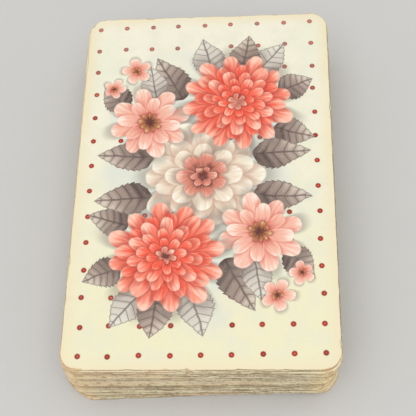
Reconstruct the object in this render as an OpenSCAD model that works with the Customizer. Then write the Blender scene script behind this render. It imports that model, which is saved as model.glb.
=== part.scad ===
// Miniature playing card deck, lying face down as a pack squared up by hand.
// Every card is its own thin blank with rounded corners. The bottom card is centred
// on the origin, with its lower face on z = 0. The pack stands on it with its long
// side along Y, a little out of true: it leans evenly from bottom to top, the lowest
// cards lie askew, and single cards stray by a hair.

/* [Card] */
// Width of a card
card_w = 41.3; // [35:0.1:50]
// Length of a card
card_l = 63.5; // [55:0.1:75]
// Thickness of the card stock
card_t = 0.225; // [0.18:0.005:0.35]
// Radius of the rounded corners
corner_r = 2.9; // [1.5:0.1:5]

/* [Pack] */
// Film of air that the waviness of worn cards keeps between two of them
air_gap = 0.01; // [0.005:0.005:0.05]
// How far the top card lies to the right of the bottom one
lean_x = 1; // [-2:0.05:2]
// How far the top card lies beyond the bottom one along its length
lean_y = 0.3; // [-2:0.05:2]
// Number of the lowest cards that lie askew, each less than the one below it
foot_cards = 6; // [1:1:12]
// Turn of the bottom card against the cards above the askew ones, in degrees
foot_turn = 2.4; // [-4:0.1:4]
// Most that a single card strays from the even lean
jog = 0.2; // [0:0.05:0.5]
// Most that a single card strays in its turn, in degrees
jog_turn = 0.3; // [0:0.05:1]

/* [Hidden] */
$fn = 64;
card_colour = [0.93, 0.90, 0.78];

// The cards from the bottom of the pack to the top
suits = ["spades", "hearts", "diamonds", "clubs"];
ranks = ["king", "queen", "jack", "ten", "nine", "eight", "seven", "six", "five", "four",
    "three", "two", "ace"];
jokers = ["second_joker", "first_joker"];
NODES = concat(jokers, [for (suit = suits, rank = ranks) str(rank, "_of_", suit)]);

top = len(NODES) - 1;
pitch = card_t + air_gap;

// Straying from -1 to 1, zero at the bottom card. The cube keeps most cards almost
// flush and lets a few stand out. The steps from card to card are in degrees.
x_step = 150;
y_step = 83;
turn_step = 105;
function stray(k, step) = pow(sin(step * k), 3);

// Place and turn of card k, counted from the bottom
function card_x(k) = lean_x * k / top + jog * stray(k, x_step);
function card_y(k) = lean_y * k / top + jog * stray(k, y_step);
function card_turn(k) =
    foot_turn * max(0, 1 - k / foot_cards) + jog_turn * stray(k, turn_step);

// Rectangle with quarter-round corners
module card_outline() {
    square([card_w - 2 * corner_r, card_l], center = true);
    square([card_w, card_l - 2 * corner_r], center = true);
    for (x = [-1, 1], y = [-1, 1])
        translate([x * (card_w / 2 - corner_r), y * (card_l / 2 - corner_r)])
            circle(r = corner_r);
}

// One card, where it lies in the pack
module card(k) {
    color(card_colour)
        translate([card_x(k), card_y(k), k * pitch])
            rotate([0, 0, card_turn(k)])
                linear_extrude(card_t)
                    card_outline();
}

for (k = [0 : top])
    card(k);
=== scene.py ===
import math
import random
from collections import namedtuple

import bpy
from mathutils import Matrix, Vector
from mathutils.geometry import delaunay_2d_cdt


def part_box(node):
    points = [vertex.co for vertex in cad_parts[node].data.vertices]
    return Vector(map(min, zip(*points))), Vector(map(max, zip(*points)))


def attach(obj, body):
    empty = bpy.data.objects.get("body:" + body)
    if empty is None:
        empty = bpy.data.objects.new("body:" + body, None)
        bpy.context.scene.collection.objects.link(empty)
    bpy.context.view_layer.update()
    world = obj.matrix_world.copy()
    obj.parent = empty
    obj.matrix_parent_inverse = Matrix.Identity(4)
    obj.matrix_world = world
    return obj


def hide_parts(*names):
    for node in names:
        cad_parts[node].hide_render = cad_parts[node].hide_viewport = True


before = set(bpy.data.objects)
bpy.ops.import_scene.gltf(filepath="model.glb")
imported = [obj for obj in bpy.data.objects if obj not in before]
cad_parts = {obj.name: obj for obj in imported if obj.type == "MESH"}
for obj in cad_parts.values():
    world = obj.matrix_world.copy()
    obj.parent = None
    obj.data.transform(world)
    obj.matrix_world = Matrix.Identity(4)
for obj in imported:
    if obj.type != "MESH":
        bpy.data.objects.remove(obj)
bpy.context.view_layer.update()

# Lengths on the cards and from them to the camera are in millimetres, and MM turns them into metres.
MM = 0.001

# Cards from the bottom of the pack to the top
JOKERS = ["second_joker", "first_joker"]
SUITS = ("spades", "hearts", "diamonds", "clubs")
RANKS = ("king", "queen", "jack", "ten", "nine", "eight", "seven", "six", "five", "four",
         "three", "two", "ace")
PACK = JOKERS + [f"{rank}_of_{suit}" for suit in SUITS for rank in RANKS]
BOTTOM_CARD = PACK[0]
TOP_CARD = PACK[-1]

# Most that a wall's normal rises, and a length too small to matter
WALL_RISE = 0.5
HAIR = 1e-3


def card_place(node):
    """Matrix of a card in the pack: origin at the middle of its lower face, Y along its length."""
    walls = [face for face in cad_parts[node].data.polygons if abs(face.normal.z) < WALL_RISE]
    long_side = max(walls, key=lambda face: face.area).normal
    turn = Matrix.Rotation(math.atan(long_side.y / long_side.x), 4, "Z")
    low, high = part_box(node)
    middle = (low + high) / 2
    return Matrix.Translation((middle.x, middle.y, low.z)) @ turn


def blank_size():
    """Width, length, thickness and corner radius of a card, measured on the bottom one."""
    square = card_place(BOTTOM_CARD).inverted()
    points = [square @ vertex.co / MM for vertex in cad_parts[BOTTOM_CARD].data.vertices]
    half_w, half_l, thickness = (max(point[axis] for point in points) for axis in range(3))
    straight = max(point.y for point in points if half_w - point.x < HAIR)
    return 2 * half_w, 2 * half_l, thickness, half_l - straight


CARD_W, CARD_L, CARD_T, CORNER_R = blank_size()


def colour(red, green, blue):
    """Scene colour of a tint given as display values from 0 to 255."""
    tint = [c / 255 for c in (red, green, blue)]
    return [c / 12.92 if c <= 0.04045 else ((c + 0.055) / 1.055) ** 2.4 for c in tint] + [1.0]


# Tints of the stock
PAPER = colour(244, 239, 218)
PAPER_GREEN = colour(238, 237, 213)
PAPER_OLD = colour(239, 233, 192)
PAPER_GREY = colour(231, 230, 208)
PAPER_YELLOW = colour(241, 228, 192)
FACE_PAPER = colour(242, 239, 226)
FOXING = colour(224, 202, 154)
WORN_RIM = colour(212, 184, 138)
# Rim of the cards under the top few: darker, partly grime and partly painted shade between the cards
RIM_GRIME_AND_SHADE = colour(176, 155, 119)

# Tints of the stock on each side: fresh, clouded, old and yellowed
BACK_STOCK = (PAPER, PAPER_GREEN, PAPER_OLD, PAPER_YELLOW)
FACE_STOCK = (FACE_PAPER, PAPER, PAPER, PAPER_YELLOW)

# Tints of the cut edge
EDGE_LIGHT = colour(240, 228, 198)
EDGE_DARK = colour(144, 130, 103)
EDGE_WARM = colour(222, 186, 150)
EDGE_SPECK = colour(118, 100, 78)
CORNER_LIGHT = colour(250, 230, 182)
CORNER_DARK = colour(206, 173, 128)

# Tints of the print on the backs: dots, pale wash, shade under the flowers, and drawn lines
DOT_RED = colour(238, 88, 60)
DOT_RIM = colour(158, 28, 8)
DOT_MAROON = colour(124, 34, 24)
WASH = colour(220, 224, 214)
SHADE = colour(128, 112, 102)
INK_LINE = colour(78, 62, 58)

# Tints of its petals and leaves: dark, middle and light
CORAL = (colour(166, 46, 38), colour(247, 96, 70), colour(253, 190, 164))
CORAL_PALE = (colour(188, 58, 48), colour(249, 124, 98), colour(253, 208, 184))
SALMON = (colour(214, 96, 80), colour(246, 184, 162), colour(254, 234, 216))
CREAM = (colour(190, 148, 128), colour(238, 218, 194), colour(251, 246, 226))
ROSY = (colour(112, 54, 46), colour(218, 134, 112), colour(250, 206, 184))
POLLEN = (colour(96, 44, 38), colour(176, 108, 70), colour(236, 190, 130))
LEAF = (colour(94, 76, 70), colour(162, 142, 130), colour(226, 212, 194))
LEAF_PALE = (colour(172, 160, 150), colour(214, 205, 192), colour(232, 228, 212))

# Inks of the faces
INK_RED = colour(178, 38, 34)
INK_BLACK = colour(38, 36, 38)
INK_GOLD = colour(206, 156, 62)

# Tints of the floor
FLOOR = colour(206, 205, 202)
FLOOR_DARK = colour(190, 188, 184)

# A pattern of noise, and a soft step from first, where a value is at start, to last, where it is at end
Noise = namedtuple("Noise", "scale detail roughness", defaults=(2.0, 0.5))
Fade = namedtuple("Fade", "start end first last", defaults=(0.0, 1.0))


class Paint:
    """A material and short calls that add nodes to it; numbers and sockets mix freely as inputs."""

    def __init__(self, name):
        self.material = bpy.data.materials.new(name)
        self.material.use_nodes = True
        self.tree = self.material.node_tree
        self.shader = self.tree.nodes["Principled BSDF"]

    def put(self, socket, value):
        if isinstance(value, bpy.types.NodeSocket):
            self.tree.links.new(value, socket)
        else:
            socket.default_value = value

    def node(self, kind, *values, **settings):
        node = self.tree.nodes.new(kind)
        for key, value in settings.items():
            setattr(node, key, value)
        for socket, value in zip(node.inputs, values):
            self.put(socket, value)
        return node

    def math(self, operation, *values):
        return self.node("ShaderNodeMath", *values, operation=operation).outputs[0]

    def fade(self, value, step):
        """Soft step of a value."""
        return self.node("ShaderNodeMapRange", value, *step, interpolation_type="SMOOTHSTEP").outputs[0]

    def vector(self, operation, *values):
        node = self.node("ShaderNodeVectorMath", *values, operation=operation)
        return node.outputs["Value" if operation == "LENGTH" else "Vector"]

    def scaled(self, vector, factor):
        node = self.node("ShaderNodeVectorMath", vector, operation="SCALE")
        self.put(node.inputs["Scale"], factor)
        return node.outputs["Vector"]

    def split(self, vector):
        return self.node("ShaderNodeSeparateXYZ", vector).outputs

    def joined(self, x, y, z=0.0):
        return self.node("ShaderNodeCombineXYZ", x, y, z).outputs[0]

    def mix(self, share, first, second):
        node = self.node("ShaderNodeMix", data_type="RGBA")
        self.put(node.inputs["Factor"], share)
        for socket, value in zip([s for s in node.inputs if s.type == "RGBA"], (first, second)):
            self.put(socket, value)
        return [s for s in node.outputs if s.type == "RGBA"][0]

    def noise(self, vector, pattern, output="Fac"):
        node = self.node("ShaderNodeTexNoise")
        self.put(node.inputs["Vector"], vector)
        for key, value in zip(("Scale", "Detail", "Roughness"), pattern):
            node.inputs[key].default_value = value
        return node.outputs[output]

    def local(self, vector, place, turn, size):
        """Coordinates in a motif's own frame, in units of its size (x, y)."""
        node = self.node("ShaderNodeMapping", vector, vector_type="TEXTURE")
        node.inputs["Location"].default_value = (*place, 0.0)
        node.inputs["Rotation"].default_value = (0.0, 0.0, math.radians(turn))
        node.inputs["Scale"].default_value = (*size, 1.0)
        return node.outputs[0]

    def attribute(self, name, output="Vector"):
        return self.node("ShaderNodeAttribute", attribute_name=name).outputs[output]

    def bump(self, height, strength, distance):
        node = self.node("ShaderNodeBump")
        self.put(node.inputs["Height"], height)
        node.inputs["Strength"].default_value = strength
        node.inputs["Distance"].default_value = distance * MM
        self.put(self.shader.inputs["Normal"], node.outputs[0])


# Attributes on every card: place on it in mm, with the card's number in the pack as Z, and how dark its
# cut edge is
PLACE = "card_mm"
TONE = "edge_tone"

# Factors that take the number out of a place, a length that no card reaches, and the middle of a noise
FLAT = (1.0, 1.0, 0.0)
FAR = 1000.0
EVEN = 0.5
EVEN_COLOUR = (EVEN, EVEN, EVEN)


def edge_distance(paint, flat):
    """Distance in from the card's outline, in mm."""
    reach = (CARD_W / 2 - CORNER_R, CARD_L / 2 - CORNER_R, FAR)
    past = paint.vector("SUBTRACT", paint.vector("ABSOLUTE", flat), reach)
    corner = paint.vector("LENGTH", paint.vector("MAXIMUM", past, (0.0, 0.0, 0.0)))
    x, y, _ = paint.split(past)
    inside = paint.math("MINIMUM", paint.math("MAXIMUM", x, y), 0.0)
    return paint.math("SUBTRACT", CORNER_R, paint.math("ADD", corner, inside))


# Ageing of the stock: patterns on it and the strength that each one gets
CLOUDS = Noise(0.09, 3.0)
CLOUDED = Fade(0.35, 0.7)
OLD_END = Fade(0.3 * CARD_L, -0.5 * CARD_L, last=0.8)
MOTTLES = Noise(0.28, 3.0, 0.6)
MOTTLED = Fade(0.4, 0.7, last=0.55)
YELLOW_RIM = Fade(2.6, 0.1)
YELLOW_CLOUDS = Fade(0.1, 0.55, 0.4, 0.9)
FOX_SPOTS = Noise(0.5, 3.0, 0.6)
FOXED = Fade(0.64, 0.8, last=0.3)
FIBRES = Noise(2.6, 3.0, 0.7)
GRAINY = Fade(0.3, 0.75, last=0.06)

# Wear of the rim: chips and frays eat into it, in mm. On the top few cards it is lighter and faint along
# the long sides; on the cards under them it is darker, partly grime and partly painted shade between the
# cards.
CHIPS = Noise(0.45)
CHIPPED = Fade(0.54, 0.7, last=0.25)
FRAYS = Noise(1.3)
FRAY_DEPTH = 0.3
WORN_THROUGH = Fade(0.06, -0.12)
TOP_FEW = Fade(len(PACK) - 4.0, len(PACK) - 1.0)
LONG_SIDES = Fade(CARD_L / 2 - CORNER_R, CARD_L / 2 - 2 * CORNER_R)
RIM_STRENGTH = 0.9
SIDE_LOSS = 0.7

# Surface of the stock: roughness along the fibres, gloss, and bump strength and depth
STOCK_ROUGHNESS = Fade(0.3, 0.7, 0.42, 0.56)
STOCK_GLOSS = 0.35
STOCK_BUMP = (0.25, 0.02)


def stock(paint, place, flat, tints):
    """Aged card stock: clouded, mottled and foxed, older towards one end and yellow towards the rim.

    Gives its colour, the share and tint of the worn rim (partly painted shade on lower cards), which lies
    over any print, and its fibres.
    """
    fresh, clouded, old, yellowed = tints
    inward = edge_distance(paint, flat)
    _, along, _ = paint.split(flat)
    cloud = paint.noise(place, CLOUDS)
    fibre = paint.noise(place, FIBRES)
    base = paint.mix(paint.fade(cloud, CLOUDED), fresh, clouded)
    base = paint.mix(paint.fade(along, OLD_END), base, old)
    base = paint.mix(paint.fade(paint.noise(place, MOTTLES), MOTTLED), base, PAPER_GREY)
    ageing = paint.math("MULTIPLY", paint.fade(inward, YELLOW_RIM), paint.fade(cloud, YELLOW_CLOUDS))
    base = paint.mix(ageing, base, yellowed)
    base = paint.mix(paint.fade(paint.noise(place, FOX_SPOTS), FOXED), base, FOXING)
    base = paint.mix(paint.fade(fibre, GRAINY), base, WORN_RIM)
    chip = paint.fade(paint.noise(place, CHIPS), CHIPPED)
    eaten = paint.math("MULTIPLY_ADD", paint.noise(place, FRAYS), FRAY_DEPTH, chip)
    ragged = paint.math("SUBTRACT", inward, eaten)
    _, _, number = paint.split(place)
    top_few = paint.fade(number, TOP_FEW)
    spared = paint.math("MULTIPLY", top_few, paint.fade(paint.math("ABSOLUTE", along), LONG_SIDES))
    strength = paint.math("MULTIPLY_ADD", spared, -SIDE_LOSS, RIM_STRENGTH)
    rim = paint.math("MULTIPLY", paint.fade(ragged, WORN_THROUGH), strength)
    # Lighter worn rim on the top few cards; below them the rim's darker tint is partly painted shade
    return base, rim, paint.mix(top_few, RIM_GRIME_AND_SHADE, WORN_RIM), fibre


def stock_surface(paint, canvas, fibre):
    """Colour, soft gloss and fine tooth of a side of the card."""
    paint.put(paint.shader.inputs["Base Color"], canvas)
    paint.put(paint.shader.inputs["Roughness"], paint.fade(fibre, STOCK_ROUGHNESS))
    paint.shader.inputs["Specular IOR Level"].default_value = STOCK_GLOSS
    paint.bump(fibre, *STOCK_BUMP)
    return paint.material


# Print on the backs: place and turn of its middle on the card, and how unsteadily it is drawn
PRINT_AT = (-0.14, 0.14)
PRINT_TURN = 0.58
FULL_SIZE = (1.0, 1.0)
HAND = Noise(0.3)
WOBBLE = 0.8
BARE_FIBRES = Fade(0.55, 0.8, last=0.22)

# Pale wash behind each half of the print: its reach, its ragged edge and its strength
WASH_REACH = (17.0, 26.0)
WASH_CLOUDS = Noise(0.16)
WASH_RAGGED = 0.9
WASHED = Fade(0.6, 0.2, last=0.7)

# Dots: columns and rows, where an even number of rows puts the middle between two of them; they fade
# towards the far end, and some are duller than others
DOT_GRID = (9, 14)
DOT_SHIFT = (0.0, 0.5, 0.0)
HALF_CELL = (0.5, 0.5, 0.0)
DOT_PITCH = 4.553
DOT_R = 0.43
DOT_BLUR = 0.1
DOT_STRAY = (0.05, 0.05, 0.0)
DOT_EDGE = Fade(DOT_R + DOT_BLUR, DOT_R - DOT_BLUR)
DOT_CORE = Fade(0.2 * DOT_R, 0.55 * DOT_R)
DOT_FADING = Fade(0.1 * CARD_L, 0.5 * CARD_L, 1.0, 0.82)
DOT_DULL = Fade(0.2, 1.0, last=0.5)


def dots(paint, canvas, spot):
    """Red dots on a square grid, each a hair out of place and with a darker rim."""
    columns, rows = DOT_GRID
    cell = paint.vector("ADD", paint.scaled(spot, 1 / DOT_PITCH), DOT_SHIFT)
    nearest = paint.vector("FLOOR", paint.vector("ADD", cell, HALF_CELL))
    chance = paint.node("ShaderNodeTexWhiteNoise", noise_dimensions="2D")
    paint.put(chance.inputs["Vector"], nearest)
    stray = paint.vector("SUBTRACT", chance.outputs["Color"], EVEN_COLOUR)
    middle = paint.vector("MULTIPLY_ADD", stray, DOT_STRAY, nearest)
    apart = paint.vector("LENGTH", paint.vector("SUBTRACT", cell, middle))
    apart = paint.math("MULTIPLY", apart, DOT_PITCH)
    x, y, _ = paint.split(paint.vector("ABSOLUTE", spot))
    inside = paint.math("MULTIPLY", paint.math("LESS_THAN", x, DOT_PITCH * columns / 2),
                        paint.math("LESS_THAN", y, DOT_PITCH * rows / 2))
    mask = paint.math("MULTIPLY", paint.fade(apart, DOT_EDGE), inside)
    _, end, _ = paint.split(spot)
    mask = paint.math("MULTIPLY", mask, paint.fade(end, DOT_FADING))
    tint = paint.mix(paint.fade(apart, DOT_CORE), DOT_RED, DOT_RIM)
    _, _, luck = paint.split(chance.outputs["Color"])
    tint = paint.mix(paint.fade(luck, DOT_DULL), tint, DOT_MAROON)
    return paint.mix(mask, canvas, tint)


# Drawing of a leaf, in shares of its length along it and of its half-width across it
LEAF_BELLY = 0.66
LEAF_VEINS = 6.0
LEAF_TEETH = 1.7 * LEAF_VEINS
TOOTH_DEPTH = 0.11
LEAF_EDGE = Fade(0.0, 0.06)
VEIN_SLANT = 0.2
SIDE_LIGHT = 0.26
VEIN_LIGHT = 0.45
TIP_LIGHT = Fade(-0.1, 1.1)
LEAF_MIDDLE_TONE = Fade(0.05, 0.6)
LEAF_LIGHT_TONE = Fade(0.6, 1.25)
VEIN_LINE = Fade(0.09, 0.01)
MIDRIB_LINE = Fade(0.08, 0.02)
LEAF_OUTLINE = Fade(0.14, 0.03)
LINE_STRENGTH = 0.7


def leaf(paint, canvas, spot, base, turn, length, width, tints):
    """A toothed leaf: dark at its base and on one side, light at its tip, with drawn veins and outline."""
    dark, middle, light = tints
    u, v, _ = paint.split(paint.local(spot, base, turn, (length, width / 2)))
    side = paint.math("ABSOLUTE", v)
    belly = paint.math("SINE", paint.math("MULTIPLY", paint.math("POWER", u, LEAF_BELLY), math.pi))
    within = paint.math("GREATER_THAN", paint.math("MULTIPLY", u, paint.math("SUBTRACT", 1.0, u)), 0.0)
    saw = paint.math("FRACT", paint.math("MULTIPLY", u, LEAF_TEETH))
    teeth = paint.math("MULTIPLY_ADD", saw, -TOOTH_DEPTH, 1.0)
    room = paint.math("SUBTRACT", paint.math("MULTIPLY", belly, teeth), side)
    mask = paint.math("MULTIPLY", paint.fade(room, LEAF_EDGE), within)
    slant = paint.math("MULTIPLY_ADD", side, -VEIN_SLANT, u)
    vein = paint.math("PINGPONG", paint.math("MULTIPLY", slant, LEAF_VEINS), 0.5)
    tone = paint.math("MULTIPLY_ADD", v, SIDE_LIGHT, paint.fade(u, TIP_LIGHT))
    tone = paint.math("MULTIPLY_ADD", vein, VEIN_LIGHT, tone)
    body = paint.mix(paint.fade(tone, LEAF_MIDDLE_TONE), dark, middle)
    body = paint.mix(paint.fade(tone, LEAF_LIGHT_TONE), body, light)
    lines = paint.math("MAXIMUM", paint.fade(vein, VEIN_LINE), paint.fade(side, MIDRIB_LINE))
    lines = paint.math("MAXIMUM", lines, paint.fade(room, LEAF_OUTLINE))
    body = paint.mix(paint.math("MULTIPLY", lines, LINE_STRENGTH), body, INK_LINE)
    return paint.mix(mask, canvas, body)


# Drawing of a flower, in shares of a petal's reach: each petal has its own size and tone by chance, is
# rounded and darker towards its sides, streaked along its length and shades what lies under it
PETAL_SEED = 7.3
PETAL_ROUND = 2.4
PETAL_LEAST = 0.9
PETAL_SPREAD = 0.14
PETAL_EDGE = Fade(1.0, 0.96)
PETAL_SHADOW = Fade(1.3, 0.98, last=0.5)
PETAL_SIDE_DARK = 0.34
PETAL_TONE_SPREAD = 0.2
PETAL_MIDDLE_TONE = Fade(0.25, 0.8)
PETAL_LIGHT_TONE = Fade(0.78, 1.2)
STREAKS = Noise(2.2)
STREAKS_AROUND = 6.0
STREAKS_OUT = 1.2
STREAK_STRENGTH = 0.8


def flower(paint, canvas, spot, centre, radius, turn, rings):
    """A flower of petal rings, outermost first: (reach, petals, half-step, taper, tints)."""
    own = paint.local(spot, centre, turn, (radius, radius))
    x, y, _ = paint.split(own)
    out = paint.vector("LENGTH", own)
    angle = paint.math("ARCTAN2", y, x)
    turned = paint.math("MULTIPLY", angle, STREAKS_AROUND)
    fan = paint.joined(turned, paint.math("MULTIPLY", out, STREAKS_OUT))
    streak = paint.math("SUBTRACT", paint.noise(fan, STREAKS), EVEN)
    covered = 1.0
    for number, (reach, petals, step, taper, (dark, middle, light)) in enumerate(rings):
        around = paint.math("MULTIPLY_ADD", angle, petals / math.tau, step)
        side = paint.math("MULTIPLY", paint.math("PINGPONG", around, 0.5), 2.0)
        petal = paint.math("FLOORED_MODULO", paint.math("ROUND", around), float(petals))
        # This node is added before its input, so that the renderer, which takes nodes in that order, leaves
        # it to a later pass. The other way round, the back needs more room than it has and turns black.
        chance = paint.node("ShaderNodeTexWhiteNoise", noise_dimensions="1D")
        paint.put(chance.inputs["W"], paint.math("ADD", petal, PETAL_SEED * number + radius))
        luck = chance.outputs["Value"]
        drop = paint.math("MULTIPLY_ADD", paint.math("POWER", side, PETAL_ROUND), -taper, 1.0)
        size = paint.math("MULTIPLY_ADD", luck, PETAL_SPREAD * reach, PETAL_LEAST * reach)
        along = paint.math("DIVIDE", out, paint.math("MULTIPLY", drop, size))
        shadow = paint.math("MULTIPLY", paint.fade(along, PETAL_SHADOW), covered)
        canvas = paint.mix(shadow, canvas, dark if number else SHADE)
        tone = paint.math("MULTIPLY_ADD", paint.math("POWER", side, 2.0), -PETAL_SIDE_DARK, along)
        tone = paint.math("MULTIPLY_ADD", streak, STREAK_STRENGTH, tone)
        tone = paint.math("MULTIPLY_ADD", luck, PETAL_TONE_SPREAD, tone)
        body = paint.mix(paint.fade(tone, PETAL_MIDDLE_TONE), dark, middle)
        body = paint.mix(paint.fade(tone, PETAL_LIGHT_TONE), body, light)
        mask = paint.fade(along, PETAL_EDGE)
        canvas = paint.mix(mask, canvas, body)
        covered = paint.math("MAXIMUM", covered, mask) if number else mask
    return canvas


# Leaves of one half of the print: base, turn in degrees, length, width, tints
LEAVES = (
    ((9.0, 19.5), 50.0, 7.6, 5.6, LEAF_PALE),
    ((1.5, 19.5), 104.0, 7.6, 6.0, LEAF_PALE),
    ((6.5, 20.0), 80.0, 7.4, 6.0, LEAF),
    ((12.5, 15.5), 22.0, 6.4, 5.6, LEAF),
    ((-3.5, 14.5), 118.0, 9.8, 6.6, LEAF),
    ((11.5, 8.5), -16.0, 7.0, 5.6, LEAF),
    ((8.0, 3.6), 3.0, 9.6, 6.0, LEAF),
    ((-13.0, 13.0), 128.0, 6.6, 5.4, LEAF),
    ((-8.0, 3.6), 176.0, 9.6, 5.8, LEAF),
    ((-8.0, 15.0), 100.0, 6.6, 5.0, LEAF_PALE),
)

# Petal rings, outermost first: reach, petals, half-step, taper, tints
CENTRE_RINGS = (
    (1.0, 10, 0.0, 0.3, CREAM),
    (0.82, 10, 0.5, 0.3, CREAM),
    (0.62, 8, 0.0, 0.3, CREAM),
    (0.42, 7, 0.5, 0.3, ROSY),
    (0.22, 6, 0.0, 0.3, ROSY),
)
LARGE_RINGS = (
    (1.0, 12, 0.0, 0.42, CORAL_PALE),
    (0.84, 12, 0.5, 0.42, CORAL),
    (0.67, 11, 0.0, 0.42, CORAL_PALE),
    (0.5, 10, 0.5, 0.42, CORAL),
    (0.34, 8, 0.0, 0.42, CORAL),
    (0.18, 6, 0.5, 0.4, ROSY),
)
SMALL_RINGS = (
    (1.0, 8, 0.0, 0.5, SALMON),
    (0.74, 8, 0.5, 0.5, SALMON),
    (0.27, 9, 0.0, 0.2, POLLEN),
)
TINY_RINGS = (
    (1.0, 5, 0.0, 0.5, SALMON),
    (0.3, 5, 0.0, 0.2, POLLEN),
)

# Flowers: the one in the middle, and those of one half of the print, undermost first: middle, radius,
# turn in degrees, rings
CENTRE_FLOWER = ((0.0, 0.0), 10.4, 0.0, CENTRE_RINGS)
FLOWERS = (
    ((-11.5, 20.5), 2.6, 30.0, TINY_RINGS),
    ((-15.2, 17.0), 2.0, 70.0, TINY_RINGS),
    ((-9.0, 10.2), 7.0, 14.0, SMALL_RINGS),
    ((5.6, 13.8), 9.6, 8.0, LARGE_RINGS),
)


def card_back():
    """Dotted back with a two-way flower spray: each end is the other turned half round."""
    paint = Paint("card_back")
    place = paint.attribute(PLACE)
    flat = paint.vector("MULTIPLY", place, FLAT)
    canvas, rim, worn, fibre = stock(paint, place, flat, BACK_STOCK)
    spot = paint.local(flat, PRINT_AT, PRINT_TURN, FULL_SIZE)
    drift = paint.vector("SUBTRACT", paint.noise(flat, HAND, "Color"), EVEN_COLOUR)
    drawn = paint.vector("ADD", spot, paint.scaled(drift, WOBBLE))
    _, end, _ = paint.split(drawn)
    half = paint.scaled(drawn, paint.math("SIGN", end))
    wide, high = WASH_REACH
    pool = paint.vector("LENGTH", paint.vector("MULTIPLY", half, (1 / wide, 1 / high, 0.0)))
    pool = paint.math("MULTIPLY_ADD", paint.noise(flat, WASH_CLOUDS), -WASH_RAGGED, pool)
    canvas = paint.mix(paint.fade(pool, WASHED), canvas, WASH)
    canvas = dots(paint, canvas, spot)
    for shape in LEAVES:
        canvas = leaf(paint, canvas, half, *shape)
    canvas = flower(paint, canvas, drawn, *CENTRE_FLOWER)
    for shape in FLOWERS:
        canvas = flower(paint, canvas, half, *shape)
    canvas = paint.mix(paint.fade(fibre, BARE_FIBRES), canvas, PAPER)
    # The rim lies over the print; on the lower cards its darker tint is partly painted shade
    return stock_surface(paint, paint.mix(rim, canvas, worn), fibre)


def card_face():
    """Bare side of the stock, which carries the pips."""
    paint = Paint("card_face")
    place = paint.attribute(PLACE)
    flat = paint.vector("MULTIPLY", place, FLAT)
    canvas, rim, worn, fibre = stock(paint, place, flat, FACE_STOCK)
    # On the lower cards the rim's darker tint is partly painted shade
    return stock_surface(paint, paint.mix(rim, canvas, worn), fibre)


# Cut edge: long streaks, short dashes and specks, each swinging the tone about the card's own
EDGE_SEED = 23.7
STREAK = Noise(0.16, 3.0, 0.6)
STREAK_SWING = Fade(0.25, 0.75, -0.35, 0.35)
DASH = Noise(0.9, 2.0, 0.6)
DASH_SWING = Fade(0.3, 0.7, -0.25, 0.25)
SPECK = Noise(2.4, 3.0, 0.65)
SPECK_SWING = Fade(0.3, 0.7, -0.2, 0.2)
SPECK_DARK = Fade(0.59, 0.7, last=0.7)
EDGE_TONE = Fade(0.0, 1.0)

# Its warm corners, from two radii before the ends of the sides, and warm patches, most of them on the left
CORNER_RAGGED = 3.0
CORNER_WARM = Fade(2.0, 5.5, last=0.9)
PATCHES = Noise(0.11)
PATCH_LEFT = 0.006
PATCH_WARM = Fade(0.45, 0.7, last=0.5)

# Its surface: roughness, gloss, and bump strength and depth
EDGE_ROUGHNESS = Fade(0.3, 0.7, 0.7, 0.9)
EDGE_GLOSS = 0.25
EDGE_BUMP = (0.4, 0.03)


def card_edge():
    """Cut edge of the stock: streaks that differ from card to card, specks of grime, warm corners."""
    paint = Paint("card_edge")
    place = paint.attribute(PLACE)
    x, y, number = paint.split(place)
    own = paint.joined(x, y, paint.math("MULTIPLY", number, EDGE_SEED))
    streak = paint.noise(own, STREAK)
    speck = paint.noise(own, SPECK)
    tone = paint.math("ADD", paint.attribute(TONE, "Fac"), paint.fade(streak, STREAK_SWING))
    tone = paint.math("ADD", tone, paint.fade(paint.noise(own, DASH), DASH_SWING))
    tone = paint.math("ADD", tone, paint.fade(speck, SPECK_SWING))
    sides = (CARD_W / 2 - 2 * CORNER_R, CARD_L / 2 - 2 * CORNER_R, 0.0)
    past_x, past_y, _ = paint.split(paint.vector("SUBTRACT", paint.vector("ABSOLUTE", place), sides))
    reach = paint.math("MULTIPLY_ADD", streak, CORNER_RAGGED, paint.math("MINIMUM", past_x, past_y))
    corner = paint.fade(reach, CORNER_WARM)
    light = paint.mix(corner, EDGE_LIGHT, CORNER_LIGHT)
    dark = paint.mix(corner, EDGE_DARK, CORNER_DARK)
    canvas = paint.mix(paint.fade(tone, EDGE_TONE), light, dark)
    patch = paint.math("MULTIPLY_ADD", x, -PATCH_LEFT, paint.noise(place, PATCHES))
    canvas = paint.mix(paint.fade(patch, PATCH_WARM), canvas, EDGE_WARM)
    canvas = paint.mix(paint.fade(speck, SPECK_DARK), canvas, EDGE_SPECK)
    paint.put(paint.shader.inputs["Base Color"], canvas)
    paint.put(paint.shader.inputs["Roughness"], paint.fade(speck, EDGE_ROUGHNESS))
    paint.shader.inputs["Specular IOR Level"].default_value = EDGE_GLOSS
    paint.bump(speck, *EDGE_BUMP)
    return paint.material


# Ink on the faces: how the stock's fibres break it, and its surface
INK_BROKEN = Fade(0.55, 0.8, last=0.25)
INK_ROUGHNESS = Fade(0.3, 0.7, 0.36, 0.5)
INK_BUMP = (0.2, 0.02)


def ink(name, tint):
    """Printing ink on a face, a little broken by the stock's fibres."""
    paint = Paint(name)
    fibre = paint.noise(paint.attribute(PLACE), FIBRES)
    canvas = paint.mix(paint.fade(fibre, INK_BROKEN), tint, FACE_PAPER)
    paint.put(paint.shader.inputs["Base Color"], canvas)
    paint.put(paint.shader.inputs["Roughness"], paint.fade(fibre, INK_ROUGHNESS))
    paint.bump(fibre, *INK_BUMP)
    return paint.material


MATERIALS = [card_back(), card_edge(), card_face(), ink("ink_red", INK_RED), ink("ink_black", INK_BLACK),
             ink("ink_gold", INK_GOLD)]
BACK, EDGE, FACE, RED, BLACK, GOLD = range(len(MATERIALS))

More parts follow.
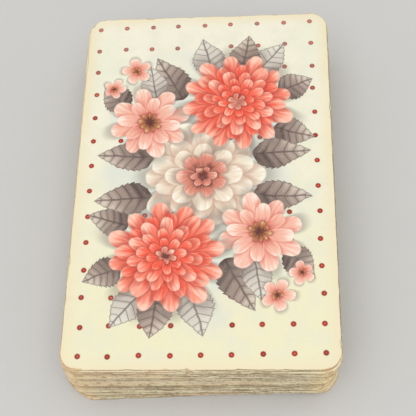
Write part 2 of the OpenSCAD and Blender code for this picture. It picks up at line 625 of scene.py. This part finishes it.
# Section of a card's edge, from the face up to the back: inset, and height as a share of the thickness
SECTION = ((0.07, 0.02), (0.02, 0.12), (0.0, 0.3), (0.0, 0.7), (0.02, 0.88), (0.07, 0.98))
TOP_RING = len(SECTION) - 1

# Points of the outline: their distance along the sides, and their number on a corner
STEP = 0.6
CORNER_STEPS = 10

# Wear of the outline: waves around it, with their least and most crests, and nicks
WEAR = 0.035
WAVES = 6
CRESTS = (5, 60)
NICKS = 16
TOP_NICKS = 40
NICK_DEPTH = (0.03, 0.13)
NICK_WIDTH = (0.4, 1.0)


def outline():
    """Points of the blank's outline with their outward normals, counter-clockwise from the right side."""
    points = []
    half_w, half_l = CARD_W / 2 - CORNER_R, CARD_L / 2 - CORNER_R
    corners = ((1, 1), (-1, 1), (-1, -1), (1, -1))
    for turn, (sx, sy) in enumerate(corners):
        for i in range(CORNER_STEPS + 1):
            angle = (turn + i / CORNER_STEPS) * math.pi / 2
            normal = Vector((math.cos(angle), math.sin(angle)))
            points.append((Vector((sx * half_w, sy * half_l)) + CORNER_R * normal, normal))
        next_x, next_y = corners[(turn + 1) % len(corners)]
        start = points[-1][0]
        end = Vector((next_x * half_w, next_y * half_l)) + CORNER_R * normal
        steps = round((end - start).length / STEP)
        points += [(start.lerp(end, i / steps), normal) for i in range(1, steps)]
    return points


OUTLINE = outline()
AROUND = len(OUTLINE)


def worn_outline(node, chance):
    """The outline, rubbed in a little all round and nicked here and there, most on the top card."""
    waves = [(chance.randint(*CRESTS), chance.uniform(0, math.tau)) for _ in range(WAVES)]
    nicks = [(chance.uniform(0, AROUND), chance.uniform(*NICK_DEPTH), chance.uniform(*NICK_WIDTH) / STEP)
             for _ in range(TOP_NICKS if node == TOP_CARD else NICKS)]
    points = []
    for i, (point, normal) in enumerate(OUTLINE):
        swing = sum(math.sin(crests * math.tau * i / AROUND + phase) for crests, phase in waves) / WAVES
        depth = WEAR * (1 + swing)
        for middle, deep, wide in nicks:
            depth += deep * math.exp(-((i - middle) / wide) ** 2)
        points.append((point - depth * normal, normal))
    return points


def arc(centre, radius, start, end, steps):
    """Points on an arc, angles in degrees."""
    turns = [math.radians(start + (end - start) * i / steps) for i in range(steps + 1)]
    return [Vector((centre[0] + radius * math.cos(a), centre[1] + radius * math.sin(a))) for a in turns]


def polygon(*points):
    """A shape from its corners."""
    return [Vector(point) for point in points]


HEART_STEPS = 28
HEART_HEIGHT = 29.0
HEART_RISE = 2.5


def heart():
    """Heart of unit height, point down, from the usual sum of waves."""
    points = []
    for i in range(HEART_STEPS):
        t = math.tau * i / HEART_STEPS
        x = 16 * math.sin(t) ** 3
        y = 13 * math.cos(t) - 5 * math.cos(2 * t) - 2 * math.cos(3 * t) - math.cos(4 * t)
        points.append((-x / HEART_HEIGHT, (y + HEART_RISE) / HEART_HEIGHT))
    return [polygon(*points)]


DIAMOND_HALF_W = 0.36
DIAMOND_HOLLOW = 0.3
DIAMOND_STEPS = (0, 0.25, 0.5, 0.75)


def diamond():
    """Diamond of unit height with hollow sides."""
    points = []
    corners = polygon((DIAMOND_HALF_W, 0), (0, 0.5), (-DIAMOND_HALF_W, 0), (0, -0.5))
    for corner, after in zip(corners, corners[1:] + corners[:1]):
        points += [corner.lerp(after, s) * (1 - DIAMOND_HOLLOW * s * (1 - s)) for s in DIAMOND_STEPS]
    return [points]


# Flared foot of a spade or a club
STEM = polygon((-0.2, -0.5), (0.2, -0.5), (0.08, -0.38), (0.04, -0.1), (-0.04, -0.1), (-0.08, -0.38))
SPADE_LEAF = 0.86
SPADE_RISE = 0.06


def spade():
    """Upside-down heart on a foot."""
    return [[Vector((-p.x, SPADE_RISE - p.y * SPADE_LEAF)) for p in heart()[0]], STEM]


LOBES = ((0, 0.26), (-0.235, -0.08), (0.235, -0.08))
LOBE_R = 0.225
LOBE_STEPS = 20
CLUB_CORE = polygon((-0.1, -0.12), (0.1, -0.12), (0.1, 0.14), (-0.1, 0.14))


def club():
    """Three lobes on a foot."""
    last = 360 - 360 / LOBE_STEPS
    lobes = [arc(centre, LOBE_R, 0, last, LOBE_STEPS - 1) for centre in LOBES]
    return lobes + [CLUB_CORE, STEM]


STAR_POINTS = 5
STAR_RADII = (0.5, 0.21)


def star():
    """Star of unit height."""
    points = []
    for i in range(2 * STAR_POINTS):
        radius = STAR_RADII[i % 2]
        turn = math.pi / 2 + math.pi * i / STAR_POINTS
        points.append((radius * math.cos(turn), radius * math.sin(turn)))
    return [polygon(*points)]


PIPS = {"hearts": heart(), "diamonds": diamond(), "spades": spade(), "clubs": club(), "joker": star()}

# Strokes of the index characters on a field 4 wide and 6 high, and the middle of that field
GLYPHS = {
    "ace": [[(0, 0), (2, 6), (4, 0)], [(0.8, 2), (3.2, 2)]],
    "two": [arc((2, 4.2), 1.8, 170, -40, 10) + [(0.2, 0), (4, 0)]],
    "three": [arc((1.9, 4.5), 1.5, 150, -90, 10), arc((1.9, 1.6), 1.6, 90, -150, 10)],
    "four": [[(3, 0), (3, 6), (0, 1.8), (4, 1.8)]],
    "five": [[(3.7, 6), (0.7, 6), (0.4, 3.3)] + arc((1.9, 1.9), 1.9, 130, -150, 12)],
    "six": [[(3.2, 6), (0.6, 3)], arc((2, 1.9), 1.9, 0, 360, 18)],
    "seven": [[(0.2, 6), (4, 6), (1.4, 0)]],
    "eight": [arc((2, 4.5), 1.5, 0, 360, 16), arc((2, 1.6), 1.6, 0, 360, 16)],
    "nine": [arc((2, 4.1), 1.9, 0, 360, 18), [(0.8, 0), (3.4, 3)]],
    "ten": [[(-0.6, 5), (0.2, 6), (0.2, 0)], arc((2.9, 3), 1.5, 0, 360, 18)],
    "jack": [[(3.2, 6), (3.2, 1.6)] + arc((1.7, 1.6), 1.5, 0, -170, 9)],
    "queen": [arc((2, 3), 2, 0, 360, 20), [(2.4, 1.6), (4.2, -0.5)]],
    "king": [[(0.2, 0), (0.2, 6)], [(3.8, 6), (0.2, 2.4)], [(1.5, 3.6), (4, 0)]],
}
GLYPH_MIDDLE = Vector((2, 3))

# Width of the strokes on the card, and the length below which a stretch of one is left out
STROKE = 0.55
POINT = 1e-6


def stroke(points, width):
    """Polygons of a line of the given width: a bar for each stretch."""
    bars = []
    for a, b in zip(points, points[1:]):
        a, b = Vector(a), Vector(b)
        if (b - a).length < POINT:
            continue
        along = (b - a).normalized() * width / 2
        across = Vector((-along.y, along.x))
        bars.append([a - along - across, b + along - across, b + along + across, a - along + across])
    return bars


def placed(shapes, middle, size, turn=0.0):
    """Shapes scaled, turned and moved to their place on the face."""
    spin = Matrix.Rotation(math.radians(turn), 2)
    return [[Vector(middle) + spin @ (Vector(p) * size) for p in shape] for shape in shapes]


def both_ends(shapes):
    """The shapes and a copy turned half round, as on a two-headed card."""
    return shapes + [[-p for p in shape] for shape in shapes]


# Layout of the faces
PIP_SIZE = 7.4
PIP_X = 9.0
PIP_Y = 20.5
ACE_SIZE = 15.0
INDEX_AT = (-17.3, 26.6)
INDEX_SIZE = 0.72
INDEX_PIP_AT = (-17.2, 21.9)
INDEX_PIP_SIZE = 3.6
JOKER_SIZE = 24.0
JOKER_INDEX_SIZE = 5.0
FRAME_HALF = (13.2, 25.0)
FRAME_LINE = 0.35
PARTING_RISE = 6.0
CROWN_AT = (2.0, 14.0)
CROWN_SIZE = 14.0
COURT_PIP_AT = (-8.6, 19.6)
COURT_PIP_SIZE = 6.0
MIDDLE = (0, 0)

# Places of the pips, in units of PIP_X and PIP_Y
FOUR = [(x, y) for x in (-1, 1) for y in (1, -1)]
SIX = [(x, y) for x in (-1, 1) for y in (1, 0, -1)]
EIGHT = [(x, y) for x in (-1, 1) for y in (1, 1 / 3, -1 / 3, -1)]
LAYOUT = {
    "two": [(0, 1), (0, -1)],
    "three": [(0, 1), (0, 0), (0, -1)],
    "four": FOUR,
    "five": FOUR + [(0, 0)],
    "six": SIX,
    "seven": SIX + [(0, 0.5)],
    "eight": SIX + [(0, 0.5), (0, -0.5)],
    "nine": EIGHT + [(0, 0)],
    "ten": EIGHT + [(0, 2 / 3), (0, -2 / 3)],
}

# Crowns of unit width: their points, and the heights of tips, notches, shoulders and foot above the band
CROWN_POINTS = {"king": 5, "queen": 4, "jack": 3}
CROWN_TIP = 0.42
CROWN_NOTCH = 0.1
CROWN_SHOULDER = 0.3
CROWN_FOOT = -0.25
CROWN_FOOT_HALF = 0.42
CROWN_BAND = polygon((-0.44, -0.42), (0.44, -0.42), (0.44, -0.32), (-0.44, -0.32))


def crown(points):
    """Crown of unit width with the given number of points, on a band."""
    left, right = (-0.5, CROWN_SHOULDER), (0.5, CROWN_SHOULDER)
    tops = []
    for i in range(points):
        if i:
            tops.append((-0.5 + i / points, CROWN_NOTCH))
        tops.append((-0.5 + (i + 0.5) / points, CROWN_TIP))
    foot = [(-CROWN_FOOT_HALF, CROWN_FOOT), (CROWN_FOOT_HALF, CROWN_FOOT)]
    return [polygon(*foot, right, *reversed(tops), left), CROWN_BAND]


def court_print(rank, suit, tone):
    """Court card: a frame with a slanting line across it, and a crown and a suit sign at either end."""
    x, y = FRAME_HALF
    lines = stroke([(-x, -y), (x, -y), (x, y), (-x, y), (-x, -y)], FRAME_LINE)
    lines += stroke([(-x, -PARTING_RISE), (x, PARTING_RISE)], FRAME_LINE)
    signs = both_ends(placed(PIPS[suit], COURT_PIP_AT, COURT_PIP_SIZE))
    crowns = both_ends(placed(crown(CROWN_POINTS[rank]), CROWN_AT, CROWN_SIZE))
    return [(tone, shape) for shape in lines + signs] + [(GOLD, shape) for shape in crowns]


def joker_print(tone):
    """Joker: a large star, and a small one in two corners."""
    small = both_ends(placed(PIPS["joker"], INDEX_AT, JOKER_INDEX_SIZE))
    return [(tone, shape) for shape in placed(PIPS["joker"], MIDDLE, JOKER_SIZE) + small]


def face_print(node):
    """Printed shapes of a face as (ink, polygon), upright to someone looking at the face."""
    rank, _, suit = node.partition("_of_")
    if not suit:
        return joker_print(RED if rank == "first_joker" else BLACK)
    tone = RED if suit in ("hearts", "diamonds") else BLACK
    lines = [[Vector(p) - GLYPH_MIDDLE for p in line] for line in GLYPHS[rank]]
    bars = [bar for line in lines for bar in stroke(line, STROKE / INDEX_SIZE)]
    corner = placed(bars, INDEX_AT, INDEX_SIZE) + placed(PIPS[suit], INDEX_PIP_AT, INDEX_PIP_SIZE)
    shapes = both_ends(corner)
    if rank == "ace":
        shapes += placed(PIPS[suit], MIDDLE, ACE_SIZE)
    for x, y in LAYOUT.get(rank, ()):
        shapes += placed(PIPS[suit], (x * PIP_X, y * PIP_Y), PIP_SIZE, 180.0 if y < 0 else 0.0)
    prints = [(tone, shape) for shape in shapes]
    return prints + court_print(rank, suit, tone) if rank in CROWN_POINTS else prints


def signed_area(shape):
    """Twice the area of a polygon, negative if it runs clockwise."""
    return sum(a.x * b.y - b.x * a.y for a, b in zip(shape, shape[1:] + shape[:1]))


# Where the sides of a card lie on its texture: back and face side by side, and the edge as a strip above
TEXTURE_MM = 88.0
TEXTURE_GAP = 0.012
STRIP_AT = 0.78
STRIP_RISE = 0.03


def back_mark(x, y):
    """Place on the texture of a point on the back."""
    return TEXTURE_GAP + (x + CARD_W / 2) / TEXTURE_MM, TEXTURE_GAP + (y + CARD_L / 2) / TEXTURE_MM


def face_mark(x, y):
    """Place on the texture of a point on the face."""
    u, v = back_mark(-x, y)
    return u + CARD_W / TEXTURE_MM + 2 * TEXTURE_GAP, v


def edge_mark(i, ring):
    """Place on the texture of a point on the edge."""
    along = TEXTURE_GAP + (1 - 2 * TEXTURE_GAP) * i / AROUND
    return along, STRIP_AT + STRIP_RISE * ring / TOP_RING


# Cutting of the face: keep what lies inside the outline, and join points closer than this
CUT_INSIDE = 1
CUT_HAIR = 1e-5


class Blank:
    """Points and faces of one card in its own frame, each face with its material and texture places."""

    def __init__(self):
        self.verts = []
        self.faces = []
        self.tints = []
        self.marks = []

    def add(self, face, tint, marks):
        self.faces.append(face)
        self.tints.append(tint)
        self.marks.append(marks)

    def add_edge(self, worn):
        """Rings of points up the worn edge, and the faces between them."""
        for inset, share in SECTION:
            ring = [point - inset * normal for point, normal in worn]
            self.verts += [(point.x, point.y, share * CARD_T) for point in ring]
        for r in range(TOP_RING):
            low, high = r * AROUND, (r + 1) * AROUND
            for i in range(AROUND):
                j = (i + 1) % AROUND
                corners = ((i, r), (i + 1, r), (i + 1, r + 1), (i, r + 1))
                marks = [edge_mark(*corner) for corner in corners]
                self.add([low + i, low + j, high + j, high + i], EDGE, marks)

    def add_back(self):
        """One face across the topmost ring."""
        face = [TOP_RING * AROUND + i for i in range(AROUND)]
        self.add(face, BACK, [back_mark(*self.verts[v][:2]) for v in face])

    def add_face(self, prints):
        """Faces across the lowest ring, cut along the print, which is mirrored because it looks down."""
        shapes = [[Vector(v[:2]) for v in self.verts[:AROUND]]]
        shapes += [[Vector((-p.x, p.y)) for p in shape] for _, shape in prints]
        shapes = [shape if signed_area(shape) > 0 else shape[::-1] for shape in shapes]
        points = [p for shape in shapes for p in shape]
        loops = []
        for shape in shapes:
            start = loops[-1][-1] + 1 if loops else 0
            loops.append(list(range(start, start + len(shape))))
        spots, _, cells, sources, _, owners = delaunay_2d_cdt(points, [], loops, CUT_INSIDE, CUT_HAIR)
        index = []
        for spot, source in zip(spots, sources):
            rim = [s for s in source if s < AROUND]
            index.append(rim[0] if rim else len(self.verts))
            if not rim:
                self.verts.append((spot.x, spot.y, SECTION[0][1] * CARD_T))
        for cell, owner in zip(cells, owners):
            face = [index[i] for i in reversed(cell)]
            tint = prints[max(owner) - 1][0] if max(owner) else FACE
            self.add(face, tint, [face_mark(*self.verts[v][:2]) for v in face])


def card_mesh(node, number, edge_tone):
    """Mesh of one card in its own frame: worn edge, plain back, and a face cut along its pips."""
    blank = Blank()
    blank.add_edge(worn_outline(node, random.Random(number)))
    blank.add_back()
    blank.add_face(face_print(node))
    mesh = bpy.data.meshes.new(node)
    mesh.from_pydata([Vector(v) * MM for v in blank.verts], [], blank.faces)
    mesh.polygons.foreach_set("material_index", blank.tints)
    mesh.polygons.foreach_set("use_smooth", [tint == EDGE for tint in blank.tints])
    layer = mesh.uv_layers.new(name="OFBake")
    layer.uv.foreach_set("vector", [c for marks in blank.marks for mark in marks for c in mark])
    place = mesh.attributes.new(PLACE, "FLOAT_VECTOR", "POINT")
    place.data.foreach_set("vector", [c for x, y, _ in blank.verts for c in (x, y, number)])
    tone = mesh.attributes.new(TONE, "FLOAT", "POINT")
    tone.data.foreach_set("value", [edge_tone] * len(blank.verts))
    for material in MATERIALS:
        mesh.materials.append(material)
    return mesh


# Seed of how dark the cut edges are
TONE_SEED = 54


def make_cards():
    """Every card of the pack, riding on its body in place of its plain blank."""
    chance = random.Random(TONE_SEED)
    for number, node in enumerate(PACK):
        mesh = card_mesh(node, number, chance.random())
        mesh.transform(card_place(node))
        mesh.validate()
        card = bpy.data.objects.new(f"{node}_card", mesh)
        bpy.context.scene.collection.objects.link(card)
        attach(card, node)
        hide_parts(node)


# Floor, in metres
FLOOR_SIZE = 12.0
FLOOR_MOTTLES = Noise(60.0, 3.0)
FLOOR_MOTTLED = Fade(0.3, 0.7, last=0.06)
FLOOR_ROUGHNESS = 0.8


def make_floor():
    """Plain pale table top."""
    paint = Paint("floor")
    mottle = paint.noise(paint.node("ShaderNodeTexCoord").outputs["Object"], FLOOR_MOTTLES)
    canvas = paint.mix(paint.fade(mottle, FLOOR_MOTTLED), FLOOR, FLOOR_DARK)
    paint.put(paint.shader.inputs["Base Color"], canvas)
    paint.shader.inputs["Roughness"].default_value = FLOOR_ROUGHNESS
    half = FLOOR_SIZE / 2
    corners = [(-half, -half, 0), (half, -half, 0), (half, half, 0), (-half, half, 0)]
    mesh = bpy.data.meshes.new("floor")
    mesh.from_pydata(corners, [], [(0, 1, 2, 3)])
    mesh.materials.append(paint.material)
    floor = bpy.data.objects.new("floor", mesh)
    bpy.context.scene.collection.objects.link(floor)


# Light: an even white surround and one square soft lamp, in metres and watts, aimed at the pack
SURROUND = 0.6
LAMP_AT = Vector((0.0, -0.2, 0.8))
LAMP_SIZE = 0.9
LAMP_WATTS = 4.1


def make_light():
    """Soft studio light from above and all around."""
    world = bpy.data.worlds.new("studio")
    world.use_nodes = True
    backdrop = world.node_tree.nodes["Background"]
    backdrop.inputs["Color"].default_value = (1.0, 1.0, 1.0, 1.0)
    backdrop.inputs["Strength"].default_value = SURROUND
    bpy.context.scene.world = world
    data = bpy.data.lights.new("key", "AREA")
    data.size = LAMP_SIZE
    data.energy = LAMP_WATTS
    lamp = bpy.data.objects.new("key", data)
    lamp.location = LAMP_AT
    lamp.rotation_euler = (-LAMP_AT).to_track_quat("-Z", "Y").to_euler()
    bpy.context.scene.collection.objects.link(lamp)


# Camera, as the photograph was taken: place and aim from the middle of the top card's back, along its own
# axes, with the tilt of the frame and the focal length in pixels of a frame this many pixels wide
FRAME_PX = 416
FOCAL_PX = 887.4
CAMERA_AT = Vector((11.41, -66.76, 124.72))
CAMERA_AIM = Vector((0.8, -5.68, 0.0))
CAMERA_ROLL = -9.73
SENSOR = 36.0
CLIP_START = 10.0


def make_camera():
    """Camera at the photograph's viewing angle."""
    top = card_place(TOP_CARD) @ Matrix.Translation((0, 0, CARD_T * MM))
    place, aim = top @ (CAMERA_AT * MM), top @ (CAMERA_AIM * MM)
    ahead = (aim - place).normalized()
    level = ahead.cross(Vector((0, 0, 1))).normalized()
    upright = level.cross(ahead)
    roll = math.radians(CAMERA_ROLL)
    right = level * math.cos(roll) + upright * math.sin(roll)
    axes = Matrix((right, right.cross(ahead), -ahead)).transposed().to_4x4()
    data = bpy.data.cameras.new("camera")
    data.sensor_width = SENSOR
    data.lens = SENSOR * FOCAL_PX / FRAME_PX
    data.clip_start = CLIP_START * MM
    camera = bpy.data.objects.new("camera", data)
    camera.matrix_world = Matrix.Translation(place) @ axes
    bpy.context.scene.collection.objects.link(camera)
    bpy.context.scene.camera = camera


make_cards()
make_floor()
make_light()
make_camera()
bpy.context.scene.view_settings.view_transform = "Standard"

bpy.context.view_layer.update()
